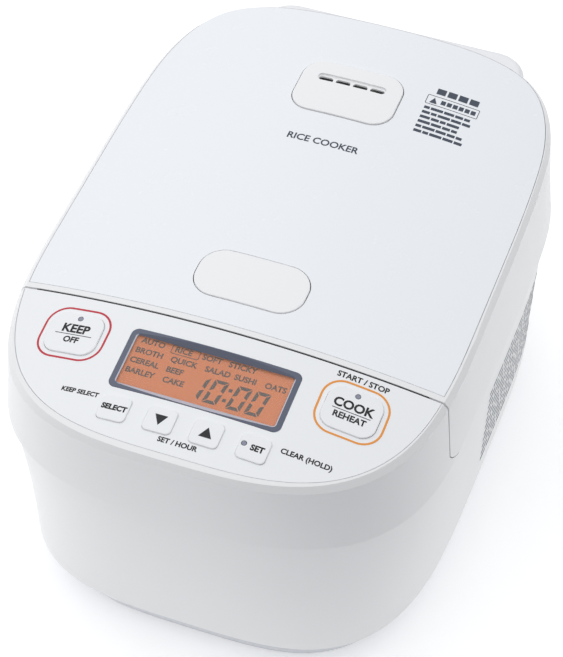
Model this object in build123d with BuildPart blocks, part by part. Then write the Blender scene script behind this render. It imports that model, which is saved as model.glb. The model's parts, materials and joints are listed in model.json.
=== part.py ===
from build123d import *
import math
import os

# Rice cooker with an induction-heated pot, millimetres.
# +Z is up, -Y is the front with the control panel, +X is the right-hand side.
# The origin is on the table under the middle of the cooker's bounding box.

os.makedirs("parts", exist_ok=True)

# ---------------------------------------------------------------- driving dimensions
HALF_WIDTH = 127.5        # half the overall width, at the parting line
REAR_Y = 190.0            # rearmost wall of the hinge housing
BAND_Z = 124.5            # parting line: lid skirt and front housing above, case below
BAND_FRONT = -187.2
BAND_REAR = 151.4
BAND_WIDEST = -64.8       # where the outline is widest
WALL = 2.4                # moulded wall thickness

LID_FRONT = -103.1        # front edge of the lid on the centre line
LID_GAP = 1.2             # gap between the lid and the control panel
LID_SAG = 2.8             # the lid's front edge bows back by this at SAG_X
SURFACE_Z = 188.2         # height of lid and panel where they meet
LID_SLOPE = 0.059         # the lid rises towards the rear
PANEL_SLOPE = 0.162       # the panel falls towards the front
CROWN_R = 552.0           # crown of the top surfaces across the width
SAG_X = 120.0
BEVEL_IN = 2.6            # bevel round the top surfaces
BEVEL_DOWN = 2.8

CASE_STEP = 1.4           # the case is set in below the parting line
CASE_LOW_Z = 22.0         # lower edge of the case
BASE_TUCK = 9.3           # the base below it is drawn in by this much
BASE_LOW_Z = 1.5

POT_Y = 22.0              # axis of the pot
POT_R = 97.0
POT_LOW_Z = 42.0
POT_TOP_Z = 145.5
POT_FLANGE_R = 105.0
COLLAR_R = 106.5

HINGE_Y = 160.0
HINGE_Z = 165.0
HINGE_PIN_R = 3.0
RUNNING = 0.05            # radial clearance of a running fit

LATCH_Y = -87.0
LATCH_Z = 166.0
LATCH_PIN_R = 1.5

BUTTON_W = 63.0
BUTTON_D = 33.4
BUTTON_Y = -66.8
BUTTON_TRAVEL = 2.5

STEAM_W = 61.0
STEAM_D = 40.5
STEAM_Y = 86.2
VALVE_Y = 80.0


# ---------------------------------------------------------------- shared shapes
def plan_points(plan, count=40):
    """Points round a closed outline whose front and rear halves are superellipses."""
    half, front, rear, widest, n_front, n_rear = plan
    points = []
    for step in range(count):
        angle = 2 * math.pi * step / count
        c, s = math.cos(angle), math.sin(angle)
        depth = rear - widest if s > 0 else widest - front
        power = n_rear if s > 0 else n_front
        reach = (abs(c / half) ** power + abs(s / depth) ** power) ** (-1 / power)
        points.append((reach * c, widest + reach * s))
    return points


def plan_face(plan, z):
    """The outline as a face at height z."""
    with BuildSketch(Plane.XY.offset(z)) as face:
        with BuildLine():
            Spline(*plan_points(plan), periodic=True)
        make_face()
    return face.sketch


def upper_plan(z, inset):
    """Outline of the lid skirt and front housing at height z."""
    rise = z - BAND_Z
    return (
        HALF_WIDTH - 0.058 * rise - inset,
        BAND_FRONT - 0.060 * rise + inset,
        BAND_REAR - 0.030 * rise - inset,
        BAND_WIDEST + 0.2 * rise,
        2.96 - 0.002 * rise,
        6.3 - 0.012 * rise,
    )


def case_plan(z, inset):
    """Outline of the lower case and the base at height z."""
    drop = BAND_Z - z
    tuck = BASE_TUCK * max(CASE_LOW_Z - z, 0) / (CASE_LOW_Z - BASE_LOW_Z)
    side = CASE_STEP + tuck + inset
    return (
        HALF_WIDTH - 0.040 * drop - side,
        BAND_FRONT + 0.087 * drop + side,
        BAND_REAR - 0.020 * drop - side,
        BAND_WIDEST + 0.37 * drop,
        2.96 + 0.0045 * drop,
        6.3 - 0.010 * drop,
    )


def upper_block(inset, z_low=BAND_Z):
    """Solid inside the upper wall, from z_low to above the lid."""
    with BuildPart() as block:
        loft([plan_face(upper_plan(z, inset), z) for z in (z_low, 212)], ruled=True)
    return block.part


def case_block(inset, z_low=CASE_LOW_Z, z_high=BAND_Z - 1):
    """Solid inside the case wall, or inside the base when it ends at the case's lower edge."""
    with BuildPart() as block:
        loft([plan_face(case_plan(z, inset), z) for z in (z_low, z_high)], ruled=True)
    return block.part


def crown_drop(x):
    """How far the crowned surface lies below its ridge."""
    return CROWN_R - math.sqrt(CROWN_R**2 - x**2)


def surface_z(x, y, slope):
    """Height of the crowned top surface."""
    return SURFACE_Z + slope * (y - LID_FRONT) - crown_drop(x) * math.hypot(1, slope)


def above_surface(slope, lift):
    """Everything above the crowned surface moved up by lift."""
    y_from, y_to, reach = -230, 230, 150
    origin = (0, y_from, SURFACE_Z + slope * (y_from - LID_FRONT) + lift)
    with BuildPart() as above:
        with BuildSketch(Plane(origin, (1, 0, 0), (0, -1, -slope))):
            with BuildLine():
                crown = ThreePointArc((-reach, -crown_drop(reach)), (0, 0), (reach, -crown_drop(reach)))
                Polyline(crown @ 1, (reach, 90), (-reach, 90), crown @ 0)
            make_face()
        extrude(amount=-(y_to - y_from) * math.hypot(1, slope))
    return above.part


def front_zone(edge):
    """Everything in front of the bowed line between panel and lid."""
    reach = 150
    sag = LID_SAG * (reach / SAG_X) ** 2
    with BuildPart() as zone:
        with BuildSketch(Plane.XY.offset(90)):
            with BuildLine():
                bow = ThreePointArc((-reach, edge + sag), (0, edge), (reach, edge + sag))
                Polyline(bow @ 1, (reach, -260), (-reach, -260), bow @ 0)
            make_face()
        extrude(amount=150)
    return zone.part


def crowned_block(inset, slope, lift=0.0, bevel=True):
    """Upper body up to the crowned top surface, with the bevel round its edge."""
    with BuildPart() as block:
        add(upper_block(inset))
        add(above_surface(slope, lift), mode=Mode.SUBTRACT)
        if bevel:
            rim = block.edges().filter_by(lambda edge: edge.center().Z > BAND_Z + 20)
            chamfer(rim, length=BEVEL_DOWN, length2=BEVEL_IN)
    return block.part


def sheet_outline(half, front, rear):
    """Outline of the sheets let into the top surfaces."""
    return plan_face((half, front, rear, -55.5, 2.9, 5.2), 0)


def rounded(width, depth, radius, x=0.0, y=0.0):
    """A rounded rectangle as a face at z = 0."""
    with BuildSketch() as face:
        with Locations((x, y)):
            RectangleRounded(width, depth, radius)
    return face.sketch


def prism(outline, z_low, z_high):
    """The outline as an upright solid."""
    with BuildPart() as solid:
        with BuildSketch(Plane.XY.offset(z_low)):
            add(outline)
        extrude(amount=z_high - z_low)
    return solid.part


def layer(outline, slope, top, bottom):
    """The outline between two levels measured from the crowned top surface."""
    with BuildPart() as solid:
        add(prism(outline, 120, 220))
        add(above_surface(slope, top), mode=Mode.SUBTRACT)
        add(above_surface(slope, bottom), mode=Mode.INTERSECT)
    return solid.part


def top_plane(x, y, slope, lift=0.0):
    """Plane on the top surface at (x, y), moved along its normal by lift."""
    tilt = x / math.sqrt(CROWN_R**2 - x**2) * math.hypot(1, slope)
    normal = Vector(tilt, -slope, 1).normalized()
    origin = Vector(x, y, surface_z(x, y, slope)) + normal * lift
    return Plane(origin, Vector(normal.Z, 0, -normal.X), normal)


def side_plane(x):
    """Plane facing +X at x; its first axis is +Y and its second is +Z."""
    return Plane((x, 0, 0), (0, 1, 0), (1, 0, 0))


def turned(x, y, profile):
    """Solid of revolution about an upright axis; profile holds (radius, z) points."""
    with BuildPart() as solid:
        with BuildSketch(Plane((x, y, 0), (1, 0, 0), (0, -1, 0))):
            with BuildLine():
                Polyline(*profile, close=True)
            make_face()
        revolve(axis=Axis((x, y, 0), (0, 0, 1)))
    return solid.part


def ring(x, y, r_in, r_out, z_low, z_high):
    """An upright tube."""
    return turned(x, y, [(r_in, z_low), (r_out, z_low), (r_out, z_high), (r_in, z_high)])


def disc(x, y, radius, z_low, z_high):
    """An upright cylinder."""
    with BuildPart() as solid:
        with BuildSketch(Plane((x, y, z_low))):
            Circle(radius)
        extrude(amount=z_high - z_low)
    return solid.part


def block(x_from, x_to, y_from, y_to, z_from, z_to):
    """A box between two corners."""
    with BuildPart() as solid:
        with BuildSketch(Plane(((x_from + x_to) / 2, (y_from + y_to) / 2, z_from))):
            Rectangle(x_to - x_from, y_to - y_from)
        extrude(amount=z_to - z_from)
    return solid.part


def side_profile(x_from, x_to, outline):
    """A closed outline of (y, z) points, extruded along X."""
    with BuildPart() as solid:
        with BuildSketch(side_plane(x_from)):
            with BuildLine():
                Polyline(*outline, close=True)
            make_face()
        extrude(amount=x_to - x_from)
    return solid.part


def coil_spring(x, y, z_low, z_high, radius, wire, turns):
    """An upright helical spring."""
    height = z_high - z_low - wire
    with BuildPart() as spring:
        with BuildLine(Plane((x, y, z_low + wire / 2))) as path:
            Helix(height / turns, height, radius)
        with BuildSketch(Plane(path.line @ 0, z_dir=path.line % 0)):
            Circle(wire / 2)
        sweep(path=path.line, is_frenet=True)
    return spring.part


def save(builder, name):
    """Labels a piece and writes it as STEP."""
    builder.part.label = name
    export_step(builder.part, f"parts/{name}.step")


# ================================================================ base and lower case
FLOOR_Z = 4.0
FOOT_SPOTS = [(-78, -118), (78, -118), (-78, 104), (78, 104)]
LEG_SPOTS = [(-60, -26), (60, -26), (-60, 70), (60, 70)]
BOSS_SPOTS = [(-113, -30), (113, -30), (-113, 75), (113, 75)]
BASE_INSET = 0.2
SLOT_W = 3.0

with BuildPart() as base_cover:
    add(case_block(BASE_INSET, BASE_LOW_Z, CASE_LOW_Z))
    add(case_block(BASE_INSET + WALL, FLOOR_Z, CASE_LOW_Z), mode=Mode.SUBTRACT)
    for x, y in FOOT_SPOTS:
        add(disc(x, y, 8.3, 0, 2.9), mode=Mode.SUBTRACT)
    for x, y in LEG_SPOTS:
        add(disc(x, y, 1.7, 0, 10), mode=Mode.SUBTRACT)
        add(disc(x, y, 3.8, 0, 2.6), mode=Mode.SUBTRACT)
    with Locations((-45, -122, FLOOR_Z)):
        with GridLocations(6.5, 0, 9, 1):
            Box(SLOT_W, 48, 10, mode=Mode.SUBTRACT)
save(base_cover, "base_cover")

with BuildPart() as feet:
    for x, y in FOOT_SPOTS:
        add(disc(x, y, 8, 0, 2.9))
    chamfer(feet.faces().group_by(Axis.Z)[0].edges(), 0.6)
save(feet, "feet")

with BuildPart() as base_screws:
    for x, y in LEG_SPOTS:
        add(disc(x, y, 3.4, 1.6, 2.6))
        add(disc(x, y, 1.5, 2.6, 12))
save(base_screws, "base_screws")

with BuildPart() as outer_case:
    add(case_block(0))
    add(case_block(WALL), mode=Mode.SUBTRACT)
    for x, y in BOSS_SPOTS:
        out = math.copysign(1, x)
        add(disc(x, y, 3.6, 106, 119.3))
        add(block(min(x, x + out * 14), max(x, x + out * 14), y - 1, y + 1, 106, 119.3))
    add(case_block(0), mode=Mode.INTERSECT)
    for x, y in BOSS_SPOTS:
        add(disc(x, y, 1.45, 100, 120), mode=Mode.SUBTRACT)
    add(block(-52, 52, 130, 170, 28, 108), mode=Mode.SUBTRACT)
save(outer_case, "outer_case")

# ================================================================ upper frame with its collar
SHOULDER_LOW_Z = 119.5
SHOULDER_Z = 123.5
COLLAR_TOP_Z = POT_TOP_Z - 2.0

with BuildPart() as upper_frame:
    add(prism(plan_face(case_plan(SHOULDER_LOW_Z, WALL + 0.4), 0), SHOULDER_LOW_Z, SHOULDER_Z))
    add(disc(0, POT_Y, COLLAR_R, SHOULDER_LOW_Z, COLLAR_TOP_Z))
    add(disc(0, POT_Y, POT_R + 2.8, 100, 160), mode=Mode.SUBTRACT)
    for x, y in BOSS_SPOTS:
        add(disc(x, y, 1.7, 100, 130), mode=Mode.SUBTRACT)
    add(block(-60, 60, -158, -118, 100, 130), mode=Mode.SUBTRACT)
save(upper_frame, "upper_frame")

with BuildPart() as frame_screws:
    for x, y in BOSS_SPOTS:
        add(disc(x, y, 3, SHOULDER_Z, SHOULDER_Z + 1.8))
        add(disc(x, y, 1.4, 109, SHOULDER_Z))
save(frame_screws, "frame_screws")

with BuildPart() as latch_keeper:
    back = -86.0
    add(side_profile(-13, 13, [
        (back - 11, SHOULDER_Z), (back, SHOULDER_Z), (back, 145.6), (back - 5, 145.6),
        (back - 5, 144), (back - 1.6, 144), (back - 1.6, SHOULDER_Z + 1.6), (back - 11, SHOULDER_Z + 1.6),
    ]))
save(latch_keeper, "latch_keeper")

# ================================================================ front housing and control panel
PANEL_REAR = LID_FRONT - LID_GAP
SHEET = 1.0
SEAM = 0.28               # gap round the sheets let into the top surfaces
EAR_R = 20.0
EAR_GAP = 0.6             # between the lid's lower corners and the housing
EAR_Y = LID_FRONT + EAR_R
EAR_Z = BAND_Z + EAR_R

LCD_SIZE = (95.9, 38.1)
LCD_Y = -134.5
LCD_OPENING = (89.0, 31.2)
LCD_GLASS_DEPTH = 2.2
LCD_FLARE = 53.0          # slope of the bezel's inner walls, in degrees

KEY_X = 78.4
KEY_Y = -126.4
SMALL_KEY_X = 0.55        # middle of the row of small keys
SMALL_KEY_Y = -165.8
SMALL_KEY_PITCH = 25.8
BIG_KEY = (30.5, 26.0, 8.0)
SMALL_KEY = (16.2, 15.2, 3.0)
KEY_RAISED = 0.8
KEY_GAP = 0.2             # round a key in the sheet
KEY_SHAFT_GAP = 0.5       # and in the housing under it
LIGHT_R = 1.25
KEY_CAP = 2.8             # thickness of a key cap
BOARD_DEPTH = 16.0        # control board below the panel surface
LIGHTS = [(-KEY_X, KEY_Y + 9.4), (KEY_X, KEY_Y + 9.4), (33.6, SMALL_KEY_Y + 1.2)]
KEYS = {
    "key_warm": (-KEY_X, KEY_Y, BIG_KEY),
    "key_cook": (KEY_X, KEY_Y, BIG_KEY),
    "key_select": (SMALL_KEY_X - 1.5 * SMALL_KEY_PITCH, SMALL_KEY_Y, SMALL_KEY),
    "key_down": (SMALL_KEY_X - 0.5 * SMALL_KEY_PITCH, SMALL_KEY_Y, SMALL_KEY),
    "key_up": (SMALL_KEY_X + 0.5 * SMALL_KEY_PITCH, SMALL_KEY_Y, SMALL_KEY),
    "key_timer": (SMALL_KEY_X + 1.5 * SMALL_KEY_PITCH, SMALL_KEY_Y, SMALL_KEY),
}


def panel_block(x, y, size, radius, low, high):
    """A rounded block standing square to the panel surface, from low to high."""
    with BuildPart() as solid:
        with BuildSketch(top_plane(x, y, PANEL_SLOPE, low)):
            RectangleRounded(*size, radius)
        extrude(amount=high - low)
    return solid.part


def panel_pin(x, y, radius, low, high):
    """A pin standing square to the panel surface."""
    with BuildPart() as solid:
        with BuildSketch(top_plane(x, y, PANEL_SLOPE, low)):
            Circle(radius)
        extrude(amount=high - low)
    return solid.part


def wider(size, gap):
    """A size with the same gap added on every side."""
    return [side + 2 * gap for side in size]


def panel_holes(low, gap):
    """The display's and the keys' holes through the panel, down to low, with a gap round each key."""
    with BuildPart() as holes:
        add(panel_block(0, LCD_Y, wider(LCD_SIZE, 0.2), 4.2, low, 3))
        for x, y, (width, depth, radius) in KEYS.values():
            add(panel_block(x, y, wider((width, depth), gap), radius + gap, low, 3))
    return holes.part


def ear_zone(gap):
    """Everything under the rounded lower front corner of the lid, gap away from it."""
    with BuildPart() as zone:
        with BuildSketch(side_plane(-150)):
            with BuildLine():
                corner = CenterArc((EAR_Y, EAR_Z), EAR_R + gap, 180, 90)
                Polyline(corner @ 1, (EAR_Y, 100), (-160, 100), (-160, EAR_Z), corner @ 0)
            make_face()
        extrude(amount=300)
    return zone.part


def housing_hollow():
    """The space inside the front housing, open below."""
    with BuildPart() as space:
        add(crowned_block(WALL, PANEL_SLOPE, -4.0, bevel=False))
        add(front_zone(PANEL_REAR - WALL), mode=Mode.INTERSECT)
    return space.part


def housing_ears():
    """Side walls that run back under the lid's rounded lower corners."""
    with BuildPart() as ears:
        add(upper_block(0))
        add(upper_block(WALL), mode=Mode.SUBTRACT)
        add(ear_zone(EAR_GAP), mode=Mode.INTERSECT)
        add(front_zone(PANEL_REAR - 0.5), mode=Mode.SUBTRACT)
    return ears.part


sheet_front = -183.8
panel_sheet = sheet_outline(121.4, sheet_front, 150)

with BuildPart() as front_housing:
    add(crowned_block(0, PANEL_SLOPE))
    add(front_zone(PANEL_REAR), mode=Mode.INTERSECT)
    add(housing_ears())
    add(housing_hollow(), mode=Mode.SUBTRACT)
    add(layer(panel_sheet, PANEL_SLOPE, 2, -SHEET), mode=Mode.SUBTRACT)
    add(panel_holes(-8, KEY_SHAFT_GAP), mode=Mode.SUBTRACT)
save(front_housing, "front_housing")

with BuildPart() as control_panel:
    add(layer(sheet_outline(121.4 - SEAM, sheet_front + SEAM, 150), PANEL_SLOPE, 0, -SHEET))
    add(front_zone(PANEL_REAR), mode=Mode.INTERSECT)
    add(panel_holes(-4, KEY_GAP), mode=Mode.SUBTRACT)
save(control_panel, "control_panel")

with BuildPart() as lcd_bezel:
    add(panel_block(0, LCD_Y, LCD_SIZE, 4, -6.5, 3))
    add(above_surface(PANEL_SLOPE, 0.1), mode=Mode.SUBTRACT)
    with BuildSketch(top_plane(0, LCD_Y, PANEL_SLOPE, -LCD_GLASS_DEPTH)):
        RectangleRounded(*LCD_OPENING, 1.5)
    extrude(amount=LCD_GLASS_DEPTH + 0.2, taper=-LCD_FLARE, mode=Mode.SUBTRACT)
    add(panel_block(0, LCD_Y, wider(LCD_OPENING, 1.6), 2, -7, -LCD_GLASS_DEPTH), mode=Mode.SUBTRACT)
save(lcd_bezel, "lcd_bezel")

with BuildPart() as lcd_window:
    add(panel_block(0, LCD_Y, wider(LCD_OPENING, 1.4), 2, -LCD_GLASS_DEPTH - 1.2, -LCD_GLASS_DEPTH))
save(lcd_window, "lcd_window")

with BuildPart() as lcd_module:
    add(panel_block(0, LCD_Y, wider(LCD_OPENING, 1.0), 1, -8.5, -LCD_GLASS_DEPTH - 1.3))
save(lcd_module, "lcd_module")

board_plane = top_plane(0, LCD_Y, PANEL_SLOPE, -BOARD_DEPTH - 1.6)
with BuildPart() as control_board:
    with BuildSketch(board_plane):
        with Locations((0, 0.5)):
            Rectangle(178, 42)
        with Locations((0, -31)):
            Rectangle(112, 24)
    extrude(amount=1.6)
save(control_board, "control_board")


def switch_low(x):
    """Level of the board's face under a key, measured square to the panel."""
    return crown_drop(x) - BOARD_DEPTH + 0.6


SWITCH_H = 3.4
with BuildPart() as tact_switches:
    for x, y, size in KEYS.values():
        add(panel_block(x, y, (6, 6), 0.3, switch_low(x), switch_low(x) + SWITCH_H))
save(tact_switches, "tact_switches")

with BuildPart() as status_lights:
    for x, y in LIGHTS:
        add(panel_pin(x, y, LIGHT_R, switch_low(x), KEY_RAISED - 0.1))
save(status_lights, "status_lights")

for key_name, (x, y, (width, depth, radius)) in KEYS.items():
    with BuildPart() as key:
        add(panel_block(x, y, (width, depth), radius, KEY_RAISED - KEY_CAP, KEY_RAISED))
        fillet(key.faces().sort_by(Axis.Z)[-1].edges(), 0.6)
        add(panel_pin(x, y, 1.8, switch_low(x) + SWITCH_H + 0.9, KEY_RAISED - KEY_CAP))
        for light_x, light_y in LIGHTS:
            if abs(light_x - x) < width / 2:
                add(panel_pin(light_x, light_y, LIGHT_R + 0.35, -15, 3), mode=Mode.SUBTRACT)
    save(key, key_name)

# ================================================================ pot and heating
FLANGE_LOW = POT_TOP_Z - 1.8
POT_WALL = 2.0
with BuildPart() as inner_pot:
    with BuildSketch(Plane((0, POT_Y, 0), (1, 0, 0), (0, -1, 0))):
        with BuildLine():
            FilletPolyline((0, POT_LOW_Z), (POT_R, POT_LOW_Z), (POT_R, FLANGE_LOW), radius=30)
            Polyline((POT_R, FLANGE_LOW), (POT_FLANGE_R, FLANGE_LOW), (POT_FLANGE_R, POT_TOP_Z),
                     (POT_R - POT_WALL, POT_TOP_Z))
            FilletPolyline((POT_R - POT_WALL, POT_TOP_Z), (POT_R - POT_WALL, POT_LOW_Z + POT_WALL),
                           (0, POT_LOW_Z + POT_WALL), radius=28)
            Line((0, POT_LOW_Z + POT_WALL), (0, POT_LOW_Z))
        make_face()
    revolve(axis=Axis((0, POT_Y, 0), (0, 0, 1)))
save(inner_pot, "inner_pot")

BOWL_R = 99.6
BOWL_Z = POT_LOW_Z - 3.5
BOWL_WALL = 1.8
with BuildPart() as inner_case:
    with BuildSketch(Plane((0, POT_Y, 0), (1, 0, 0), (0, -1, 0))):
        with BuildLine():
            FilletPolyline((15.5, BOWL_Z), (BOWL_R, BOWL_Z), (BOWL_R, SHOULDER_LOW_Z), radius=31)
            Line((BOWL_R, SHOULDER_LOW_Z), (BOWL_R + BOWL_WALL, SHOULDER_LOW_Z))
            FilletPolyline((BOWL_R + BOWL_WALL, SHOULDER_LOW_Z), (BOWL_R + BOWL_WALL, BOWL_Z - BOWL_WALL),
                           (15.5, BOWL_Z - BOWL_WALL), radius=32.8)
            Line((15.5, BOWL_Z - BOWL_WALL), (15.5, BOWL_Z))
        make_face()
    revolve(axis=Axis((0, POT_Y, 0), (0, 0, 1)))
    for x, y in LEG_SPOTS:
        add(disc(x, y, 5, FLOOR_Z, BOWL_Z - 1) - disc(x, y, 1.55, FLOOR_Z, 20))
save(inner_case, "inner_case")

COIL_Z = BOWL_Z - BOWL_WALL - 2.4
with BuildPart() as induction_coil:
    for turn in range(7):
        with Locations((0, POT_Y, COIL_Z)):
            Torus(26 + 6 * turn, 2.1)
    for turn in range(4):
        with Locations((0, POT_Y, 76 + 6 * turn)):
            Torus(BOWL_R + BOWL_WALL + 2.4, 2.1)
save(induction_coil, "induction_coil")

FERRITE_TOP = COIL_Z - 2.4
with BuildPart() as ferrite_bars:
    with Locations((0, POT_Y, FERRITE_TOP - 5)):
        with PolarLocations(46, 6):
            Box(34, 10, 5, align=(Align.CENTER, Align.CENTER, Align.MIN))
save(ferrite_bars, "ferrite_bars")

COVER_TOP = FERRITE_TOP - 5.3
with BuildPart() as coil_cover:
    add(ring(0, POT_Y, 7, 74, COVER_TOP - 1.6, COVER_TOP))
    for x, y in LEG_SPOTS:
        add(disc(x, y, 6, 10, 40), mode=Mode.SUBTRACT)
save(coil_cover, "coil_cover")

SENSOR_TOP = POT_LOW_Z - 0.5
with BuildPart() as pot_sensor:
    add(disc(0, POT_Y, 13, SENSOR_TOP - 4, SENSOR_TOP))
    add(disc(0, POT_Y, 4, 14, SENSOR_TOP - 4))
save(pot_sensor, "pot_sensor")

with BuildPart() as sensor_spring:
    add(coil_spring(0, POT_Y, COVER_TOP + 0.2, SENSOR_TOP - 4.2, 7, 1.0, 4))
save(sensor_spring, "sensor_spring")

# ================================================================ power electronics, fan, cord reel
with BuildPart() as inverter_board:
    add(block(-74, 74, -160, -96, 46, 47.6))
save(inverter_board, "inverter_board")

with BuildPart() as heat_sink:
    add(block(10, 70, -150, -104, 47.8, 51))
    for fin in range(9):
        x = 10 + 7.25 * fin
        add(block(x, x + 2, -150, -104, 51, 76))
save(heat_sink, "heat_sink")

FAN_X = -45.0
FAN_Y = -122.0
with BuildPart() as fan_housing:
    add(prism(rounded(64, 52, 5, FAN_X, FAN_Y), 6, 24))
    add(disc(FAN_X, FAN_Y, 24, 0, 30), mode=Mode.SUBTRACT)
    add(block(FAN_X - 26, FAN_X + 26, FAN_Y - 1.5, FAN_Y + 1.5, 6, 8))
    add(disc(FAN_X, FAN_Y, 8, 6, 8))
    add(disc(FAN_X, FAN_Y, 1.5, 8, 20))
save(fan_housing, "fan_housing")

with BuildPart() as fan_rotor:
    add(disc(FAN_X, FAN_Y, 9, 9, 22))
    for blade in range(7):
        turn = Pos(FAN_X, FAN_Y) * Rot(0, 0, 360 / 7 * blade)
        with BuildSketch(Plane(turn * Plane((15.4, 0, 15.5), (0, 1, 0.8), (1, 0, 0)).location)):
            Rectangle(13, 1.2)
        extrude(amount=7.4, both=True)
    add(disc(FAN_X, FAN_Y, 1.5 + RUNNING, 0, 20.5), mode=Mode.SUBTRACT)
save(fan_rotor, "fan_rotor")

REEL_Z = 62.0
REEL_Y = 158.0


def reel_disc(radius, y_from, y_to):
    """A disc of the cord reel, whose axis runs front to back."""
    with BuildPart() as solid:
        with BuildSketch(Plane((0, y_from, REEL_Z), (1, 0, 0), (0, 1, 0))):
            Circle(radius)
        extrude(amount=y_to - y_from)
    return solid.part


with BuildPart() as cord_reel_case:
    add(reel_disc(44, REEL_Y, REEL_Y + 24))
    add(reel_disc(42, REEL_Y + 1.6, REEL_Y + 30), mode=Mode.SUBTRACT)
    add(reel_disc(4, REEL_Y + 1.6, REEL_Y + 22))
    add(block(34, 60, REEL_Y + 4, REEL_Y + 16, REEL_Z - 36, REEL_Z - 24), mode=Mode.SUBTRACT)
save(cord_reel_case, "cord_reel_case")

with BuildPart() as cord_reel_drum:
    add(reel_disc(40, REEL_Y + 2.4, REEL_Y + 4))
    add(reel_disc(22, REEL_Y + 4, REEL_Y + 18))
    add(reel_disc(40, REEL_Y + 18, REEL_Y + 19.6))
    add(reel_disc(4 + RUNNING, REEL_Y, REEL_Y + 30), mode=Mode.SUBTRACT)
save(cord_reel_drum, "cord_reel_drum")

# ================================================================ rear housing and hinge
HOUSING_HALF = 84.0
HOUSING_FRONT = 150.2
HOUSING_TOP = 173.0
ARM_X = 50.0
ARM_T = 4.0
SLOT_HALF = 3.4


def rear_shape(inset):
    """Outline of the rear housing seen from the side, inset from its faces."""
    half = HOUSING_HALF - inset
    outline = [
        (HOUSING_FRONT + inset, HOUSING_TOP - inset), (184 - inset, HOUSING_TOP - inset),
        (REAR_Y - inset, 105), (187 - inset, 12 + inset), (130, 12 + inset), (130, 118),
        (HOUSING_FRONT + inset, 124),
    ]
    with BuildPart() as solid:
        add(side_profile(-half, half, outline))
        corners = solid.edges().filter_by(
            lambda edge: edge.length > 40 and edge.center().Y > 180 and abs(edge.center().X) > half - 1)
        fillet(corners, 20 - inset)
        if inset == 0:
            rim = solid.faces().sort_by(Axis.Z)[-1].edges()
            fillet(rim.filter_by(lambda edge: edge.center().Y > HOUSING_FRONT + 1), 5)
    return solid.part


with BuildPart() as rear_housing:
    add(rear_shape(0))
    add(rear_shape(WALL), mode=Mode.SUBTRACT)
    add(case_block(-0.2, CASE_LOW_Z, SHOULDER_Z + 0.8), mode=Mode.SUBTRACT)
    add(case_block(-0.2, BASE_LOW_Z, CASE_LOW_Z), mode=Mode.SUBTRACT)
    for x in (-ARM_X, ARM_X):
        add(block(x - SLOT_HALF, x + SLOT_HALF, 140, HINGE_Y + 7, 156, 190), mode=Mode.SUBTRACT)
    with Locations((0, REAR_Y, 142)):
        with GridLocations(7, 0, 13, 1):
            Box(SLOT_W, 30, 20, mode=Mode.SUBTRACT)
    add(block(-62, -42, 170, 200, 20, 34), mode=Mode.SUBTRACT)
save(rear_housing, "rear_housing")

with BuildPart() as cord_outlet:
    with BuildSketch(Plane((-52, 184.0, 27), (1, 0, 0), (0, -1, 0))):
        RectangleRounded(19.6, 13.6, 3)
        RectangleRounded(11, 6, 2.9, mode=Mode.SUBTRACT)
    extrude(amount=-4.2)
save(cord_outlet, "cord_outlet")

BRACKET_CHEEK = [(157, 140), (181, 140), (181, 160), (166, 170), (156.2, 170), (156.2, 150)]
with BuildPart() as hinge_bracket:
    for x in (-ARM_X - 9, -ARM_X + 6, ARM_X - 9, ARM_X + 6):
        add(side_profile(x, x + 3, BRACKET_CHEEK))
    add(block(-62, 62, 157, 181, 138, 140))
    with BuildSketch(side_plane(-80)):
        with Locations((HINGE_Y, HINGE_Z)):
            Circle(HINGE_PIN_R + RUNNING)
    extrude(amount=160, mode=Mode.SUBTRACT)
save(hinge_bracket, "hinge_bracket")

with BuildPart() as hinge_pin:
    with BuildSketch(side_plane(-64)):
        with Locations((HINGE_Y, HINGE_Z)):
            Circle(HINGE_PIN_R)
    extrude(amount=128)
save(hinge_pin, "hinge_pin")

with BuildPart() as hinge_spring:
    with BuildLine() as coil:
        Helix(4, 72, 4.6, center=(-36, HINGE_Y, HINGE_Z), direction=(1, 0, 0))
    with BuildSketch(Plane(coil.line @ 0, z_dir=coil.line % 0)):
        Circle(0.9)
    sweep(path=coil.line, is_frenet=True)
save(hinge_spring, "hinge_spring")

# ================================================================ lid
LID_SHEET = 1.6
SHEET_EDGE = 3.5          # the lid's top sheet starts this far behind its front edge
WELL_GAP = 0.5
COVER_Z = 152.0
COVER_T = 2.0
COVER_GAP = 2.2           # clear of the skirt's sloping inner wall
STEAM_FLOOR = 168.0
BUTTON_FLOOR = 174.0
STEAM_OUTLINE = (STEAM_W, STEAM_D, 12.5)
BUTTON_OUTLINE = (BUTTON_W, BUTTON_D, 14.0)
POST_SPOTS = [(-98, -60), (98, -60), (-98, 100), (98, 100)]


def offset_outline(outline, gap, y):
    """A rounded outline grown by gap and placed at y."""
    width, depth, radius = outline
    return rounded(width + 2 * gap, depth + 2 * gap, radius + gap, 0, y)


LIP_Z = 165.0             # above this the skirt's inner wall follows the top sheet
SHEET_MARGIN = 0.7        # rim left between the bevel and the top sheet


def lid_sheet_plan(gap):
    """Outline of the lid's top sheet, gap smaller than its recess."""
    return upper_plan(184, BEVEL_IN + SHEET_MARGIN + gap)


def lid_inside():
    """The space inside the skirt, open above and below."""
    with BuildPart() as space:
        loft([plan_face(upper_plan(BAND_Z, WALL), BAND_Z), plan_face(lid_sheet_plan(0), LIP_Z)], ruled=True)
        add(front_zone(LID_FRONT + WALL), mode=Mode.SUBTRACT)
        add(prism(plan_face(lid_sheet_plan(0), 0), LIP_Z, 215) - front_zone(LID_FRONT + SHEET_EDGE))
    return space.part


with BuildPart() as lid_frame:
    add(crowned_block(0, LID_SLOPE))
    add(front_zone(LID_FRONT), mode=Mode.SUBTRACT)
    add(lid_inside(), mode=Mode.SUBTRACT)
    add(ear_zone(0), mode=Mode.SUBTRACT)
    add(block(-86, 86, 138, 170, 100, 176), mode=Mode.SUBTRACT)
save(lid_frame, "lid_frame")

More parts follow.
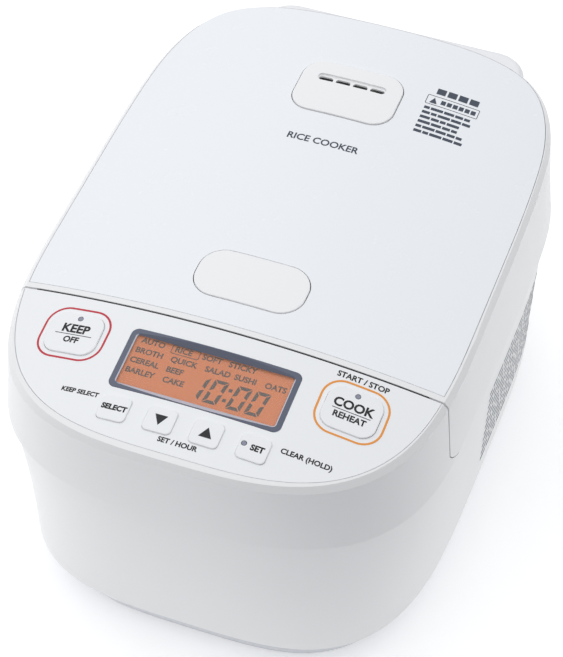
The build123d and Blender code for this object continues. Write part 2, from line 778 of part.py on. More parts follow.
CARRIER_TOP = -LID_SHEET - 0.1
with BuildPart() as lid_carrier:
    add(prism(plan_face(lid_sheet_plan(0.5), 0), 120, 220))
    add(front_zone(LID_FRONT + SHEET_EDGE + 0.5), mode=Mode.SUBTRACT)
    add(above_surface(LID_SLOPE, CARRIER_TOP - 2.2), mode=Mode.INTERSECT)
    add(prism(offset_outline(STEAM_OUTLINE, WELL_GAP + 1.8, STEAM_Y), STEAM_FLOOR, 215))
    add(prism(offset_outline(BUTTON_OUTLINE, WELL_GAP + 1.8, BUTTON_Y), BUTTON_FLOOR, 215))
    add(above_surface(LID_SLOPE, CARRIER_TOP), mode=Mode.SUBTRACT)
    add(prism(offset_outline(STEAM_OUTLINE, WELL_GAP, STEAM_Y), STEAM_FLOOR + 2, 220), mode=Mode.SUBTRACT)
    add(prism(offset_outline(BUTTON_OUTLINE, WELL_GAP, BUTTON_Y), BUTTON_FLOOR + 2, 220), mode=Mode.SUBTRACT)
    add(disc(0, VALVE_Y, 9.5, 150, 180), mode=Mode.SUBTRACT)
    add(disc(0, BUTTON_Y, 3.5, 150, 180), mode=Mode.SUBTRACT)
save(lid_carrier, "lid_carrier")

with BuildPart() as lid_top_panel:
    add(layer(plan_face(lid_sheet_plan(SEAM), 0), LID_SLOPE, 0, -LID_SHEET))
    add(front_zone(LID_FRONT + SHEET_EDGE + SEAM), mode=Mode.SUBTRACT)
    add(prism(offset_outline(STEAM_OUTLINE, WELL_GAP, STEAM_Y), 150, 220), mode=Mode.SUBTRACT)
    add(prism(offset_outline(BUTTON_OUTLINE, WELL_GAP, BUTTON_Y), 150, 220), mode=Mode.SUBTRACT)
save(lid_top_panel, "lid_top_panel")

with BuildPart() as lid_inner_cover:
    add(prism(plan_face(upper_plan(COVER_Z, WALL + COVER_GAP), 0), COVER_Z, COVER_Z + COVER_T))
    add(front_zone(LID_FRONT + WALL + 0.4), mode=Mode.SUBTRACT)
    add(block(-88, 88, 146, 170, 100, 200), mode=Mode.SUBTRACT)
    for x, y in POST_SPOTS:
        add(disc(x, y, 4, COVER_Z, 210) - above_surface(LID_SLOPE, CARRIER_TOP - 2.3))
    for x in (-12.5, 9.5):
        add(side_profile(x, x + 3, [(-91, COVER_Z + 1), (-83, COVER_Z + 1), (-83, 169), (-91, 169)]))
    add(disc(0, VALVE_Y, 16, 100, 200), mode=Mode.SUBTRACT)
    add(disc(32, 50, 9, 100, 200), mode=Mode.SUBTRACT)
    add(block(-9.2, 9.2, -99.4, -84, 100, 160), mode=Mode.SUBTRACT)
    with BuildSketch(side_plane(-20)):
        with Locations((LATCH_Y, LATCH_Z)):
            Circle(LATCH_PIN_R + RUNNING)
    extrude(amount=40, mode=Mode.SUBTRACT)
save(lid_inner_cover, "lid_inner_cover")

with BuildPart() as lid_heater:
    add(disc(0, POT_Y, 88, COVER_Z - 1.2, COVER_Z))
    add(disc(0, VALVE_Y, 16, 100, 200), mode=Mode.SUBTRACT)
    add(disc(32, 50, 9, 100, 200), mode=Mode.SUBTRACT)
save(lid_heater, "lid_heater")

with BuildPart() as inner_lid:
    add(disc(0, POT_Y, 103, COVER_Z - 2.8, COVER_Z - 1.4))
    add(disc(0, VALVE_Y, 5, 100, 200), mode=Mode.SUBTRACT)
    add(disc(32, 50, 3, 100, 200), mode=Mode.SUBTRACT)
save(inner_lid, "inner_lid")

GASKET_TOP = COVER_Z - 2.8
with BuildPart() as pot_gasket:
    add(turned(0, POT_Y, [
        (96.5, GASKET_TOP), (103, GASKET_TOP), (103, GASKET_TOP - 1.4), (101.5, POT_TOP_Z + 0.4),
        (99, POT_TOP_Z + 0.4), (98.5, GASKET_TOP - 1.6), (96.5, GASKET_TOP - 1.6),
    ]))
save(pot_gasket, "pot_gasket")

with BuildPart() as pressure_valve:
    add(turned(0, VALVE_Y, [
        (5, COVER_Z - 1.4), (14, COVER_Z - 1.4), (14, 158), (6, 160), (6, 166), (3, 166), (3, 156), (5, 154),
    ]))
save(pressure_valve, "pressure_valve")

with BuildPart() as safety_valve:
    add(turned(32, 50, [(0, COVER_Z - 1.4), (7.5, COVER_Z - 1.4), (7.5, 157), (3, 160), (0, 160)]))
save(safety_valve, "safety_valve")

with BuildPart() as steam_duct:
    add(turned(0, VALVE_Y, [
        (6.1, 160.6), (9, 160.6), (9, STEAM_FLOOR + 2), (6.1, STEAM_FLOOR + 2),
    ]))
save(steam_duct, "steam_duct")

with BuildPart() as hinge_arms:
    add(block(-62, 62, 118, 145.6, COVER_Z + COVER_T, COVER_Z + COVER_T + 2))
    for x in (-ARM_X, ARM_X):
        with BuildSketch(side_plane(x - ARM_T / 2)):
            with BuildLine():
                Polyline((122, 155), (145.6, 155), (HINGE_Y, HINGE_Z - 5.5), (HINGE_Y, HINGE_Z + 5.5),
                         (146, 169), (122, 162), close=True)
            make_face()
            with Locations((HINGE_Y, HINGE_Z)):
                Circle(5.5)
                Circle(HINGE_PIN_R + RUNNING, mode=Mode.SUBTRACT)
        extrude(amount=ARM_T)
save(hinge_arms, "hinge_arms")

# ================================================================ steam cap
CAP_LIFT = 0.8
CAP_DEPTH = 9.0
CAP_BASE_TOP = 191.5
STEAM_SLOT_Y = STEAM_Y + 7.3
VENT_W = 8.8
VENT_D = 3.6
VENT_PITCH = 10.5
GROOVE = (41.6, 5.6, 2.7)
GROOVE_DEPTH = 1.2

with BuildPart() as steam_cap:
    add(layer(rounded(*STEAM_OUTLINE, 0, STEAM_Y), LID_SLOPE, CAP_LIFT, -CAP_DEPTH))
    fillet(steam_cap.faces().sort_by(Axis.Z)[-1].edges(), 0.6)
    inner = offset_outline(STEAM_OUTLINE, -2, STEAM_Y)
    add(layer(inner, LID_SLOPE, CAP_LIFT - 2.2, -CAP_DEPTH - 5), mode=Mode.SUBTRACT)
    add(layer(rounded(*GROOVE, 0, STEAM_SLOT_Y), LID_SLOPE, 5, CAP_LIFT - GROOVE_DEPTH), mode=Mode.SUBTRACT)
    for vent in range(4):
        x = (vent - 1.5) * VENT_PITCH
        add(prism(rounded(VENT_W, VENT_D, 1.7, x, STEAM_SLOT_Y - 0.6), 180, 215), mode=Mode.SUBTRACT)
save(steam_cap, "steam_cap")

with BuildPart() as steam_cap_base:
    add(prism(offset_outline(STEAM_OUTLINE, -2.2, STEAM_Y), STEAM_FLOOR + 3.4, CAP_BASE_TOP))
    add(prism(offset_outline(STEAM_OUTLINE, -4, STEAM_Y), STEAM_FLOOR + 5.2, 210), mode=Mode.SUBTRACT)
    add(disc(0, VALVE_Y, 4, 150, 200), mode=Mode.SUBTRACT)
save(steam_cap_base, "steam_cap_base")

with BuildPart() as steam_cap_seal:
    add(ring(0, VALVE_Y, 6.3, 10.2, STEAM_FLOOR + 2.2, STEAM_FLOOR + 3.4))
save(steam_cap_seal, "steam_cap_seal")

# ================================================================ lid release
LEVER_TOP = 171.2
with BuildPart() as open_button:
    add(layer(rounded(*BUTTON_OUTLINE, 0, BUTTON_Y), LID_SLOPE, 0.5, -5))
    fillet(open_button.faces().sort_by(Axis.Z)[-1].edges(), 0.6)
    inner = offset_outline(BUTTON_OUTLINE, -2, BUTTON_Y)
    add(layer(inner, LID_SLOPE, -2.2, -8), mode=Mode.SUBTRACT)
    add(disc(0, BUTTON_Y, 3, LEVER_TOP + 0.3, 188.5))
save(open_button, "open_button")

with BuildPart() as button_spring:
    add(coil_spring(0, BUTTON_Y, BUTTON_FLOOR + 2.1, 187, 5, 0.8, 5))
save(button_spring, "button_spring")

with BuildPart() as latch_hook:
    add(side_profile(-8, 8, [
        (-90, 168.6), (-84, 170), (-70, LEVER_TOP), (-63, LEVER_TOP), (-63, LEVER_TOP - 2.2),
        (-82, 165), (-84.6, 162), (-89, 160), (-93.7, 146), (-93.7, 143), (-91.5, 143), (-91.5, 141.6),
        (-93.7, 139.6), (-96.3, 139.6), (-96.3, 147), (-91.2, 162),
    ]))
    with BuildSketch(side_plane(-20)):
        with Locations((LATCH_Y, LATCH_Z)):
            Circle(LATCH_PIN_R + RUNNING)
    extrude(amount=40, mode=Mode.SUBTRACT)
save(latch_hook, "latch_hook")

with BuildPart() as latch_pin:
    with BuildSketch(side_plane(-13.5)):
        with Locations((LATCH_Y, LATCH_Z)):
            Circle(LATCH_PIN_R)
    extrude(amount=27)
save(latch_pin, "latch_pin")
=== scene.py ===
import itertools
import json
import math

import bmesh
import bpy
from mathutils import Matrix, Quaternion, Vector
from mathutils.bvhtree import BVHTree


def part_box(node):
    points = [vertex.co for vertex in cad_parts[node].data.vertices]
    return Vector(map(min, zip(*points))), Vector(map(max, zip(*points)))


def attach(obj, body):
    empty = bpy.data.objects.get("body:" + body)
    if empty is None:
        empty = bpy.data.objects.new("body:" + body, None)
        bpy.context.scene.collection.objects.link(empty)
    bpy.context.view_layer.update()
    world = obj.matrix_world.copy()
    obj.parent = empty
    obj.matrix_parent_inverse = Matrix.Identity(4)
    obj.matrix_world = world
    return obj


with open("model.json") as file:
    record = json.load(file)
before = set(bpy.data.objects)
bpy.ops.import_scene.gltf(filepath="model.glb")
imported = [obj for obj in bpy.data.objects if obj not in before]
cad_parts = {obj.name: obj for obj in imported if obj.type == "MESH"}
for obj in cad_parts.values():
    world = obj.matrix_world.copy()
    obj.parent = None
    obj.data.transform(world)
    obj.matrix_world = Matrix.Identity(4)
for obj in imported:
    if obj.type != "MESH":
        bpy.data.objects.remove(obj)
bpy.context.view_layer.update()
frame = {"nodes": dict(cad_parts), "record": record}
nodes = frame["nodes"]
MM = 0.001

# ---------------------------------------------------------------- where things are, in millimetres
KEY_X, KEY_Y = 78.4, -126.4          # centres of the two large keys, left and right of the display
SMALL_Y = -165.8                     # row of small keys
SMALL_X = {"key_select": -38.15, "key_down": -12.35, "key_up": 13.45, "key_timer": 39.25}
LIFT = 0.04                          # printed ink stands this far above its surface
INK = 0.03                           # and is this thick
FLOW_SCALE, PATCH_SCALE = 9, 55      # noise features per metre in a plastic's colour and gloss
FLECK_SCALE, FLECK_EDGES = 900, (0.12, 0.06)
BEZEL_LEFT = -0.0474                 # outer edge of the display bezel's left wall, in metres
BEZEL_FADE = 3.0                     # the painted highlight on the left wall fades out over this


# ---------------------------------------------------------------- material helpers
def srgb(red, green, blue):
    """A colour given as 0-255 values, in the linear values that shaders use."""
    linear = []
    for value in (red, green, blue):
        v = value / 255
        linear.append(v / 12.92 if v <= 0.04045 else ((v + 0.055) / 1.055) ** 2.4)
    return (*linear, 1.0)


def noise(tree, scale, detail=4.0, stretch=(1, 1, 1)):
    """Noise in object space; scale is in features per metre."""
    coords = tree.nodes.new("ShaderNodeTexCoord")
    mapping = tree.nodes.new("ShaderNodeMapping")
    mapping.inputs["Scale"].default_value = stretch
    texture = tree.nodes.new("ShaderNodeTexNoise")
    texture.inputs["Scale"].default_value = scale
    texture.inputs["Detail"].default_value = detail
    tree.links.new(coords.outputs["Object"], mapping.inputs["Vector"])
    tree.links.new(mapping.outputs["Vector"], texture.inputs["Vector"])
    return texture.outputs["Fac"]


def remap(tree, value, low, high):
    """The value's middle part, from 0.3 to 0.7, spread over low to high."""
    node = tree.nodes.new("ShaderNodeMapRange")
    node.inputs["From Min"].default_value = 0.3
    node.inputs["From Max"].default_value = 0.7
    node.inputs["To Min"].default_value = low
    node.inputs["To Max"].default_value = high
    tree.links.new(value, node.inputs["Value"])
    return node.outputs["Result"]


def blend_colors(tree, factor, first, second):
    """A mix of two colours by factor."""
    mix = tree.nodes.new("ShaderNodeMix")
    mix.data_type = "RGBA"
    mix.inputs["A"].default_value = first
    mix.inputs["B"].default_value = second
    tree.links.new(factor, mix.inputs["Factor"])
    return mix.outputs["Result"]


def bump(tree, height, strength, distance):
    """A bump of that height in metres."""
    node = tree.nodes.new("ShaderNodeBump")
    node.inputs["Strength"].default_value = strength
    node.inputs["Distance"].default_value = distance
    tree.links.new(height, node.inputs["Height"])
    return node.outputs["Normal"]


def shade(color, amount):
    """The colour made darker or lighter by amount."""
    return (*[min(c * amount, 1.0) for c in color[:3]], 1.0)


def plastic(name, color, rough, grain, grain_scale=2600, vary=0.03, coat=0.0, spread=0.05):
    """Moulded plastic: a grain of that height, and slight variation in colour and gloss."""
    made = bpy.data.materials.new(name)
    made.use_nodes = True
    tree = made.node_tree
    shader = tree.nodes["Principled BSDF"]
    flow = noise(tree, FLOW_SCALE, 3)
    tone = blend_colors(tree, flow, shade(color, 1 - vary), shade(color, 1 + vary / 2))
    tree.links.new(tone, shader.inputs["Base Color"])
    patches = remap(tree, noise(tree, PATCH_SCALE, 5), rough - spread, rough + spread)
    tree.links.new(patches, shader.inputs["Roughness"])
    tree.links.new(bump(tree, noise(tree, grain_scale, 2), 0.5, grain * MM), shader.inputs["Normal"])
    shader.inputs["Coat Weight"].default_value = coat
    shader.inputs["Coat Roughness"].default_value = 0.25
    return made


def metal(name, color, rough, stretch, scale=900):
    """Metal with drawn or brushed marks along the axis whose stretch is small."""
    vary = 0.12
    grain = 0.004
    made = bpy.data.materials.new(name)
    made.use_nodes = True
    tree = made.node_tree
    shader = tree.nodes["Principled BSDF"]
    marks = noise(tree, scale, 3, stretch)
    tone = blend_colors(tree, marks, shade(color, 1 - vary), shade(color, 1 + vary))
    tree.links.new(tone, shader.inputs["Base Color"])
    tree.links.new(remap(tree, marks, rough - 0.06, rough + 0.08), shader.inputs["Roughness"])
    tree.links.new(bump(tree, marks, 0.6, grain * MM), shader.inputs["Normal"])
    shader.inputs["Metallic"].default_value = 1.0
    return made


def speckled(name, color, fleck, rough):
    """Non-stick coating with fine light flecks."""
    made = plastic(name, color, rough, 0.01, 1500)
    tree = made.node_tree
    shader = tree.nodes["Principled BSDF"]
    cells = tree.nodes.new("ShaderNodeTexVoronoi")
    cells.inputs["Scale"].default_value = FLECK_SCALE
    coords = tree.nodes.new("ShaderNodeTexCoord")
    tree.links.new(coords.outputs["Object"], cells.inputs["Vector"])
    flecks = spread_out(tree, cells.outputs["Distance"], *FLECK_EDGES)
    tree.links.new(blend_colors(tree, flecks, color, fleck), shader.inputs["Base Color"])
    return made


def lit(name, color, strength):
    """A backlit film: its own colour, and light through it."""
    made = plastic(name, color, 0.35, 0.002)
    shader = made.node_tree.nodes["Principled BSDF"]
    shader.inputs["Emission Color"].default_value = color
    shader.inputs["Emission Strength"].default_value = strength
    return made


def clear(name, color, alpha):
    """A clear window that shows what lies under it, with sharp reflections."""
    made = plastic(name, color, 0.06, 0.0005, vary=0.0, spread=0.015)
    shader = made.node_tree.nodes["Principled BSDF"]
    shader.inputs["Alpha"].default_value = alpha
    shader.inputs["IOR"].default_value = 1.49
    return made


def spread_out(tree, value, low, high):
    """0 at low and 1 at high, held beyond them."""
    node = tree.nodes.new("ShaderNodeMapRange")
    node.inputs["From Min"].default_value = low
    node.inputs["From Max"].default_value = high
    tree.links.new(value, node.inputs["Value"])
    return node.outputs["Result"]


def combine(tree, operation, first, second):
    """Two values joined by a math operation."""
    node = tree.nodes.new("ShaderNodeMath")
    node.operation = operation
    tree.links.new(first, node.inputs[0])
    tree.links.new(second, node.inputs[1])
    return node.outputs["Value"]


def along(tree, vector, direction):
    """How far the vector reaches in that direction."""
    node = tree.nodes.new("ShaderNodeVectorMath")
    node.operation = "DOT_PRODUCT"
    node.inputs[1].default_value = direction
    tree.links.new(vector, node.inputs[0])
    return node.outputs["Value"]


def painted_light_tone(name, shaded, light, left_edge):
    """Smoky plastic with painted light: lighter on the walls that face the rear left, where the light falls,
    and on the inner part of its left wall.
    """
    made = plastic(name, shaded, 0.24, 0.001, 600, coat=0.3)
    tree = made.node_tree
    normal = tree.nodes.new("ShaderNodeNewGeometry").outputs["Normal"]
    place = tree.nodes.new("ShaderNodeTexCoord").outputs["Object"]
    # painted light: walls facing the rear left and the inner part of the left wall are coloured lighter
    faces_light = spread_out(tree, along(tree, normal, (-0.95, 0.85, 0)), 0.1, 0.5)
    on_left = spread_out(tree, along(tree, normal, (1, 0, 0)), 0.25, 0.6)
    inward = spread_out(tree, along(tree, place, (1, 0, 0)), left_edge, left_edge + BEZEL_FADE * MM)
    tone = combine(tree, "MAXIMUM", faces_light, combine(tree, "MULTIPLY", on_left, inward))
    shader = tree.nodes["Principled BSDF"]
    tree.links.new(blend_colors(tree, tone, shaded, light), shader.inputs["Base Color"])
    return made


# ---------------------------------------------------------------- materials, by the record's slots
FINISH = {
    "white_case": plastic(
        "satin_white", srgb(238, 238, 239), 0.34, 0.0012, 520, vary=0.006, coat=0.1, spread=0.02),
    "white_lid": plastic(
        "gloss_white", srgb(240, 242, 246), 0.27, 0.0002, 380, vary=0.004, coat=0.1, spread=0.006),
    "white_panel": plastic("panel_white", srgb(241, 242, 244), 0.30, 0.001, 600, vary=0.006, spread=0.02),
    "white_trim": plastic("matte_white", srgb(243, 243, 244), 0.42, 0.0015, 700, vary=0.008, spread=0.03),
    "light_grey_housing": plastic(
        "housing_white", srgb(238, 238, 241), 0.34, 0.0012, 520, vary=0.006, spread=0.02),
    "dark_base": plastic("dark_textured", srgb(62, 65, 74), 0.62, 0.02, 1800, vary=0.08),
    "inner_white": plastic("moulded_white", srgb(214, 214, 214), 0.50, 0.003, 900, vary=0.04),
    "dark_rubber": plastic("black_rubber", srgb(42, 42, 44), 0.85, 0.02, 1200, vary=0.15),
    "grey_silicone": plastic("silicone", srgb(170, 170, 174), 0.55, 0.004, 900),
    "steel": metal("brushed_steel", srgb(190, 190, 193), 0.30, (1, 0.03, 1)),
    "spring_steel": metal("drawn_wire", srgb(150, 150, 154), 0.34, (1, 1, 0.1)),
    "aluminium": metal("extruded_aluminium", srgb(196, 198, 202), 0.36, (1, 0.05, 1)),
    "pot_coating": speckled("pot_nonstick", srgb(62, 60, 60), srgb(128, 122, 116), 0.38),
    "copper": metal("enamelled_copper", srgb(190, 112, 70), 0.32, (1, 1, 4), 1400),
    "ferrite": plastic("sintered_ferrite", srgb(52, 52, 56), 0.55, 0.02, 2400, vary=0.2),
    "circuit_board": plastic("solder_mask", srgb(34, 96, 60), 0.30, 0.004, 1200, vary=0.15),
    "black_plastic": plastic("black_moulded", srgb(34, 34, 38), 0.48, 0.008, 1800, vary=0.1),
    # the bezel's lighter walls are painted light
    "bezel": painted_light_tone("bezel_blue_grey", srgb(84, 90, 110), srgb(214, 220, 234), BEZEL_LEFT),
    "lcd_glass": clear("display_window", srgb(250, 240, 230), 0.08),
    "lcd_amber": lit("amber_backlight", srgb(204, 108, 40), 0.08),
    "light_pipe": plastic("smoky_lens", srgb(138, 140, 158), 0.22, 0.001, 600, coat=0.2),
}
PRINT_BLACK = plastic("print_black", srgb(16, 18, 26), 0.42, 0.001, 1500)
PRINT_SLATE = plastic("print_slate", srgb(58, 68, 84), 0.42, 0.001, 1500)
PRINT_RED = plastic("print_red", srgb(196, 40, 58), 0.40, 0.001, 1500)
PRINT_ORANGE = plastic("print_orange", srgb(236, 150, 52), 0.40, 0.001, 1500)
SEGMENT = plastic("display_segment", srgb(44, 28, 22), 0.40, 0.001, 1500)
SEGMENT_DIM = plastic("display_segment_dim", srgb(66, 38, 26), 0.40, 0.001, 1500)

for part in frame["record"]["subparts"]:
    held = nodes[part["node"]].data
    held.materials.clear()
    held.materials.append(FINISH[part["material_slot"]])
# the base cover is greyer than the case: partly its own moulding, partly painted shade low down by the floor
BASE_GREY_AND_SHADE = plastic("base_grey_and_shade", srgb(206, 208, 214), 0.45, 0.0015, 520, vary=0.006)
nodes["base_cover"].data.materials[0] = BASE_GREY_AND_SHADE


# ---------------------------------------------------------------- printed marks
DOWN = Vector((0, 0, -1))
TOP_START = (0, 0, 0.4)              # above the cooker, in metres
LONGEST_RUN = 4.0                    # straight runs longer than this are cut into pieces


class Surface:
    """The outside of a CAD node, on which marks are laid from one direction."""

    def __init__(self, node, start, across, up, inward):
        mesh = nodes[node].data
        self.tree = BVHTree.FromPolygons([v.co for v in mesh.vertices], [p.vertices for p in mesh.polygons])
        self.start, self.across, self.up, self.inward = (Vector(v) for v in (start, across, up, inward))

    def point(self, u, v):
        """The point over (u, v), in millimetres, lifted off the surface."""
        origin = self.start + (self.across * u + self.up * v) * MM
        hit = self.tree.ray_cast(origin, self.inward)[0]
        return hit - self.inward * (LIFT * MM)


def from_above(node):
    """The top of a node, with marks placed by x and y."""
    return Surface(node, TOP_START, (1, 0, 0), (0, 1, 0), DOWN)


def lay(name, mesh, surface, body, finish):
    """Puts a flat mesh, drawn in millimetres, on a surface as a thin layer of ink."""
    for vertex in mesh.vertices:
        vertex.co = surface.point(vertex.co.x, vertex.co.y)
    mesh.materials.clear()
    mesh.materials.append(finish)
    mark = bpy.data.objects.new(name, mesh)
    bpy.context.scene.collection.objects.link(mark)
    thick = mark.modifiers.new("ink", "SOLIDIFY")
    thick.thickness = INK * MM
    thick.offset = 1.0
    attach(mark, body)


def flat_mesh(name, polygons):
    """A flat mesh of separate polygons, each a list of (x, y) points."""
    built = bmesh.new()
    for points in polygons:
        built.faces.new([built.verts.new((x, y, 0)) for x, y in points])
    mesh = bpy.data.meshes.new(name)
    bmesh.ops.recalc_face_normals(built, faces=built.faces)
    built.to_mesh(mesh)
    built.free()
    return mesh


def upright(polygon):
    """The polygon wound so that it faces the reader."""
    area = sum(a[0] * b[1] - b[0] * a[1] for a, b in zip(polygon, polygon[1:] + polygon[:1]))
    return polygon if area > 0 else polygon[::-1]


def rounded_outline(x, y, width, depth, radius):
    """Points round a rounded rectangle."""
    steps = 10
    points = []
    corners = [(1, 1, 0), (-1, 1, 90), (-1, -1, 180), (1, -1, 270)]
    for side, end, start in corners:
        cx, cy = x + side * (width / 2 - radius), y + end * (depth / 2 - radius)
        for step in range(steps + 1):
            angle = math.radians(start + 90 * step / steps)
            points.append((cx + radius * math.cos(angle), cy + radius * math.sin(angle)))
    return points


def between(a, b, t):
    """The point at fraction t of the way from a to b."""
    return (a[0] + (b[0] - a[0]) * t, a[1] + (b[1] - a[1]) * t)


def pieces_of(a, b):
    """How many pieces a straight run is cut into, so that a mark can follow a curved surface."""
    return max(1, math.ceil(math.dist(a, b) / LONGEST_RUN))


def split_long(points):
    """Adds points on the long straight runs of an outline."""
    fine = []
    for a, b in zip(points, points[1:] + points[:1]):
        parts = pieces_of(a, b)
        fine += [between(a, b, k / parts) for k in range(parts)]
    return fine


def outline_band(x, y, width, depth, radius, line):
    """The quads of a closed line round a rounded rectangle."""
    outer = rounded_outline(x, y, width + line, depth + line, radius + line / 2)
    inner = rounded_outline(x, y, width - line, depth - line, radius - line / 2)
    quads = []
    for k in range(len(outer)):
        n = (k + 1) % len(outer)
        parts = pieces_of(outer[k], outer[n])
        for p in range(parts):
            a, b = p / parts, (p + 1) / parts
            quad = [between(outer[k], outer[n], a), between(outer[k], outer[n], b),
                    between(inner[k], inner[n], b), between(inner[k], inner[n], a)]
            quads.append(upright(quad))
    return quads


def bar(x, y, width, height):
    """A rectangle centred on (x, y)."""
    w, h = width / 2, height / 2
    return [(x - w, y - h), (x + w, y - h), (x + w, y + h), (x - w, y + h)]


def text_mesh(words, size, x, y, bold, align="CENTER"):
    """Lettering as a flat mesh at (x, y), in millimetres."""
    curve = bpy.data.curves.new("letters", "FONT")
    curve.body = words
    curve.size = size
    curve.align_x = align
    curve.align_y = "CENTER"
    curve.offset = bold
    curve.resolution_u = 3
    holder = bpy.data.objects.new("letters", curve)
    bpy.context.scene.collection.objects.link(holder)
    bpy.context.view_layer.update()
    mesh = bpy.data.meshes.new_from_object(holder.evaluated_get(bpy.context.evaluated_depsgraph_get()))
    bpy.data.objects.remove(holder)
    bpy.data.curves.remove(curve)
    for vertex in mesh.vertices:
        vertex.co = (x + vertex.co.x, y + vertex.co.y, 0)
    return mesh


# ---------------------------------------------------------------- control panel
BIG_SHAPE, SMALL_SHAPE = (30.5, 26.0, 8.0), (16.2, 15.2, 3.0)          # width, depth, corner radius
KEY_SHAPES = [(side * KEY_X, KEY_Y, *BIG_SHAPE) for side in (-1, 1)]
KEY_SHAPES += [(x, SMALL_Y, *SMALL_SHAPE) for x in SMALL_X.values()]
KEY_GAP = 0.2
FILM_W, FILM_DEPTH, FILM_THICK = 0.16, 0.12, 0.1                       # white film in the key gaps, painted light over their shade
FORESHORTEN = 0.987                  # the panel slopes, so seen from above a key's depth is shorter
CROWN_R, PANEL_SLOPE = 552.0, 0.162  # the panel's crown from side to side, and its fall to the front
PANEL_Z, LID_FRONT = 188.2, -103.1   # its ridge's height at the lid's front edge, and where that edge is
LID_GAP = 1.2                        # between lid and panel
LID_SAG, SAG_X = 2.8, 120.0          # the edge bows back by LID_SAG at SAG_X
STRIP_REACH, STRIP_STEPS = 112.0, 40                                   # dark strip of painted shade in the lid gap
STRIP_W, STRIP_DEPTH, STRIP_THICK = 1.0, 0.5, 0.6
RING_SHAPE, RING_LINE = (36.6, 31.6, 11.0), 1.15
RINGS = [("warm_ring", -1, PRINT_RED), ("cook_ring", 1, PRINT_ORANGE)]
CAPTION_BOLD = 0.14
CAPTIONS = [
    ("keep_caption", "KEEP SELECT", 3.7, -60.0, -160.4),
    ("time_caption", "SET / HOUR", 4.1, 1.4, -176.2),
    ("clear_caption", "CLEAR (HOLD)", 4.2, 66.4, -161.4),
    ("start_caption", "START / STOP", 4.6, 77.9, -107.4),
]
BIG_LEGENDS = [("key_warm", -1, "KEEP", "OFF"), ("key_cook", 1, "COOK", "REHEAT")]
TITLE_SIZE, TITLE_RISE, TITLE_BOLD = 7.2, 2.4, 0.24
RULE_SIZE, RULE_DROP = (21.0, 0.4), 1.2
NOTE_SIZE, NOTE_DROP, NOTE_BOLD = 5.0, 4.6, 0.17
SMALL_LEGENDS = [("key_select", "SELECT", 4.3, 0.0), ("key_timer", "SET", 4.7, 2.0)]
SMALL_BOLD = 0.2
ARROWS = [("key_down", -1), ("key_up", 1)]
ARROW_HALF, ARROW_TAIL, ARROW_TIP = 3.6, 2.8, 3.4


def print_panel():
    """The rings round the large keys and the captions beside the keys."""
    panel = from_above("control_panel")
    for name, side, finish in RINGS:
        band = outline_band(side * KEY_X, KEY_Y, *RING_SHAPE, RING_LINE)
        lay(name, flat_mesh(name, band), panel, "cooker", finish)
    for name, words, size, x, y in CAPTIONS:
        lay(name, text_mesh(words, size, x, y, CAPTION_BOLD), panel, "cooker", PRINT_BLACK)


def film_height(x, y):
    """Height of the panel's top surface in millimetres."""
    crown = CROWN_R - math.sqrt(CROWN_R ** 2 - x ** 2)
    return PANEL_Z + PANEL_SLOPE * (y - LID_FRONT) - crown * math.hypot(1, PANEL_SLOPE)


def sunk_strip(name, polygons, depth, thick, finish):
    """A strip that follows the panel's surface, with its top at that depth."""
    mesh = flat_mesh(name, polygons)
    for vertex in mesh.vertices:
        vertex.co.z = film_height(vertex.co.x, vertex.co.y) - depth
        vertex.co *= MM
    mesh.materials.append(finish)
    strip = bpy.data.objects.new(name, mesh)
    bpy.context.scene.collection.objects.link(strip)
    body = strip.modifiers.new("thickness", "SOLIDIFY")
    body.thickness = thick * MM
    body.offset = -1.0
    return strip


def light_key_gaps():
    """A thin white film in the narrow gap round every key: painted light that hides the shade in the gaps.
    """
    polygons = []
    for x, y, width, depth, radius in KEY_SHAPES:
        deep = (depth + KEY_GAP) * FORESHORTEN
        polygons += outline_band(x, y, width + KEY_GAP, deep, radius, FILM_W)
    # painted light: a white film fills the key gaps so that their shade does not show
    film = sunk_strip("key_gap_light", polygons, FILM_DEPTH, FILM_THICK, FINISH["white_panel"])
    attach(film, "cooker")


def gap_middle(k):
    """Point k on the middle line of the gap between panel and lid, which bows."""
    x = STRIP_REACH * (2 * k / STRIP_STEPS - 1)
    return x, LID_FRONT - LID_GAP / 2 + LID_SAG * (x / SAG_X) ** 2


def shade_lid_gap():
    """A dark strip in the gap between the panel and the lid: painted shade where the gap is in shadow."""
    half = STRIP_W / 2
    polygons = []
    for step in range(STRIP_STEPS):
        x1, y1 = gap_middle(step)
        x2, y2 = gap_middle(step + 1)
        polygons.append([(x1, y1 - half), (x2, y2 - half), (x2, y2 + half), (x1, y1 + half)])
    # painted shade: a dark strip stands for the shadow down in the gap
    strip = sunk_strip("lid_gap_shade", polygons, STRIP_DEPTH, STRIP_THICK, FINISH["dark_rubber"])
    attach(strip, "cooker")


def print_key(key, name, mesh):
    """Black ink on the top of a key."""
    lay(name, mesh, from_above(key), key, PRINT_BLACK)


def print_keys():
    """A title, a rule and a note on the large keys, and a word or an arrow on the small ones."""
    for key, side, title, note in BIG_LEGENDS:
        x = side * KEY_X
        rule = split_long(bar(x, KEY_Y - RULE_DROP, *RULE_SIZE))
        print_key(key, key + "_title", text_mesh(title, TITLE_SIZE, x, KEY_Y + TITLE_RISE, TITLE_BOLD))
        print_key(key, key + "_rule", flat_mesh("rule", [rule]))
        print_key(key, key + "_note", text_mesh(note, NOTE_SIZE, x, KEY_Y - NOTE_DROP, NOTE_BOLD))
    for key, words, size, shift in SMALL_LEGENDS:
        print_key(key, key + "_title", text_mesh(words, size, SMALL_X[key] + shift, SMALL_Y, SMALL_BOLD))
    for key, tip in ARROWS:
        x, tail = SMALL_X[key], SMALL_Y - ARROW_TAIL * tip
        arrow = upright([(x - ARROW_HALF, tail), (x + ARROW_HALF, tail), (x, SMALL_Y + ARROW_TIP * tip)])
        print_key(key, key + "_arrow", flat_mesh("arrow", [arrow]))


